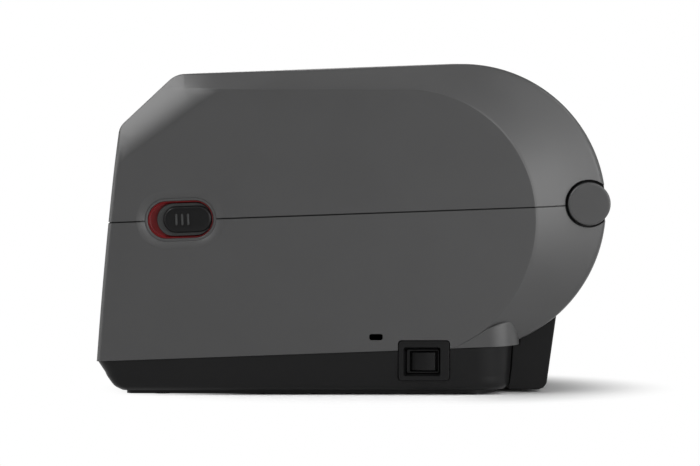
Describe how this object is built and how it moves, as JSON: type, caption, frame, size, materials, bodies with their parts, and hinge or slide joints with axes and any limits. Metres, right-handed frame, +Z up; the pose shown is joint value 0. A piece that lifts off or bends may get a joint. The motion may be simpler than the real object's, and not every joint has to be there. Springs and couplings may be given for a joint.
{
  "type": "desktop thermal transfer printer",
  "caption": "Desktop thermal transfer printer: lift-up rounded cover on a rear hinge, side latches, ribbon mechanism, sprung printhead, driven platen and centring roll guides on a flat base.",
  "frame": {"origin": "centre of the outline at table level, under the rubber feet", "axes": "+Z up, +Y towards the hinge at the rear (the label exit faces -Y), +X towards the side with the power switch"},
  "size_m": [0.202, 0.2984, 0.1922],
  "materials": {
    "grey": "fine texture",
    "black": "fine texture",
    "inner": "satin",
    "red": "satin",
    "gloss": "gloss",
    "lens": "clear gloss",
    "rubber": "matt",
    "steel": "ground",
    "zinc": "zinc plated",
    "aluminium": "cast",
    "gear": "moulded resin",
    "ceramic": "glazed",
    "board": "solder mask"
  },
  "bodies": {
    "base": {"lower_housing": "grey", "base_tray": "black", "foot_front_left": "rubber", "foot_front_right": "rubber", "foot_rear_left": "rubber", "foot_rear_right": "rubber", "rear_panel": "black", "network_socket": "zinc", "usb_socket": "zinc", "power_inlet": "black", "main_board": "board", "switch_frame": "black", "switch_body": "black", "latch_liner_left": "red", "latch_liner_right": "red", "hinge_pin": "steel", "hinge_bracket_left": "inner", "hinge_bracket_right": "inner", "hinge_cap_left": "grey", "hinge_cap_right": "grey", "media_bay": "inner", "rack_track": "inner", "front_lip": "black", "tear_bar": "steel", "platen_frame": "zinc", "platen_bush_left": "black", "platen_bush_right": "black", "stepper_motor": "steel", "sensor_rail": "steel"},
    "cover": {"cover_shell": "grey", "hinge_barrel": "grey", "control_panel": "gloss", "status_light": "lens", "cover_catch_left": "zinc", "cover_catch_right": "zinc", "ribbon_frame": "inner", "ribbon_gear_plate": "zinc", "ribbon_motor": "steel", "head_shaft": "steel"},
    "feed_button": {"feed_button": "grey"},
    "takeup": {"takeup_spindle": "black", "takeup_gear": "gear"},
    "ribbon_pinion": {"ribbon_pinion": "steel"},
    "supply": {"supply_spindle": "black"},
    "head": {"head_bracket": "aluminium", "printhead": "ceramic", "head_spring_left": "steel", "head_spring_right": "steel"},
    "platen": {"platen_sleeve": "rubber", "platen_shaft": "steel", "platen_gear": "gear"},
    "idler": {"idler_gear": "gear"},
    "motor_pinion": {"motor_pinion": "steel"},
    "latch_left": {"latch_slider_left": "black"},
    "latch_right": {"latch_slider_right": "black"},
    "rocker": {"power_rocker": "black"},
    "guide_left": {"roll_guide_left": "inner"},
    "guide_right": {"roll_guide_right": "inner"},
    "guide_pinion": {"guide_pinion": "gear"},
    "sensor": {"media_sensor": "black"}
  },
  "joints": [
    {"name": "cover_hinge", "type": "hinge", "parent": "base", "child": "cover", "pos_m": [0, 0.1366, 0.11108], "axis": [-1, 0, 0], "range_deg": [0, 84]},
    {"name": "latch_left_slide", "type": "slide", "parent": "base", "child": "latch_left", "axis": [0, -0.9993, -0.0361], "range_m": [0, 0.004], "stiffness_N_per_m": 400, "springref_m": -0.002},
    {"name": "latch_right_slide", "type": "slide", "parent": "base", "child": "latch_right", "axis": [0, -0.9993, -0.0361], "range_m": [0, 0.004], "stiffness_N_per_m": 400, "springref_m": -0.002},
    {"name": "power_switch", "type": "hinge", "parent": "base", "child": "rocker", "pos_m": [0.0942, 0.0406, 0.0193], "axis": [0, 0, -1], "range_deg": [0, 14]},
    {"name": "platen_spin", "type": "hinge", "parent": "base", "child": "platen", "pos_m": [0, -0.12391, 0.09286], "axis": [1, 0, 0], "continuous": true},
    {"name": "idler_spin", "type": "hinge", "parent": "base", "child": "idler", "pos_m": [0, -0.10998, 0.08146], "axis": [1, 0, 0], "continuous": true},
    {"name": "motor_spin", "type": "hinge", "parent": "base", "child": "motor_pinion", "pos_m": [0, -0.08977, 0.07278], "axis": [1, 0, 0], "continuous": true},
    {"name": "guide_right_slide", "type": "slide", "parent": "base", "child": "guide_right", "axis": [1, 0, 0], "range_m": [-0.043, 0]},
    {"name": "guide_left_slide", "type": "slide", "parent": "base", "child": "guide_left", "axis": [1, 0, 0], "range_m": [0, 0.043]},
    {"name": "guide_pinion_spin", "type": "hinge", "parent": "base", "child": "guide_pinion", "pos_m": [0, 0.05954, 0.02814], "axis": [0, -0.0361, 0.9993], "range_deg": [-250, 0]},
    {"name": "sensor_slide", "type": "slide", "parent": "base", "child": "sensor", "axis": [1, 0, 0], "range_m": [-0.04, 0.04]},
    {"name": "feed_button_press", "type": "slide", "parent": "cover", "child": "feed_button", "axis": [0, 0.684, -0.7295], "range_m": [0, 0.001], "stiffness_N_per_m": 500, "springref_m": -0.0005},
    {"name": "head_pivot", "type": "hinge", "parent": "cover", "child": "head", "pos_m": [0, -0.09268, 0.1147], "axis": [-1, 0, 0], "range_deg": [0, 3], "stiffness_Nm_per_rad": 8, "springref_deg": -6.88, "deforming": ["head_spring_left", "head_spring_right"]},
    {"name": "takeup_spin", "type": "hinge", "parent": "cover", "child": "takeup", "pos_m": [0, -0.09216, 0.15004], "axis": [1, 0, 0], "continuous": true},
    {"name": "ribbon_pinion_spin", "type": "hinge", "parent": "cover", "child": "ribbon_pinion", "pos_m": [0, -0.0788, 0.1621], "axis": [1, 0, 0], "continuous": true},
    {"name": "supply_spin", "type": "hinge", "parent": "cover", "child": "supply", "pos_m": [0, -0.03012, 0.14998], "axis": [1, 0, 0], "continuous": true}
  ],
  "couplings": [
    {"joint": "idler_spin", "follows": "platen_spin", "ratio": -1.5714},
    {"joint": "motor_spin", "follows": "platen_spin", "ratio": 4.1905},
    {"joint": "guide_left_slide", "follows": "guide_right_slide", "ratio": -1},
    {"joint": "guide_pinion_spin", "follows": "guide_right_slide", "rad_per_m": 100},
    {"joint": "ribbon_pinion_spin", "follows": "takeup_spin", "ratio": -2}
  ]
}
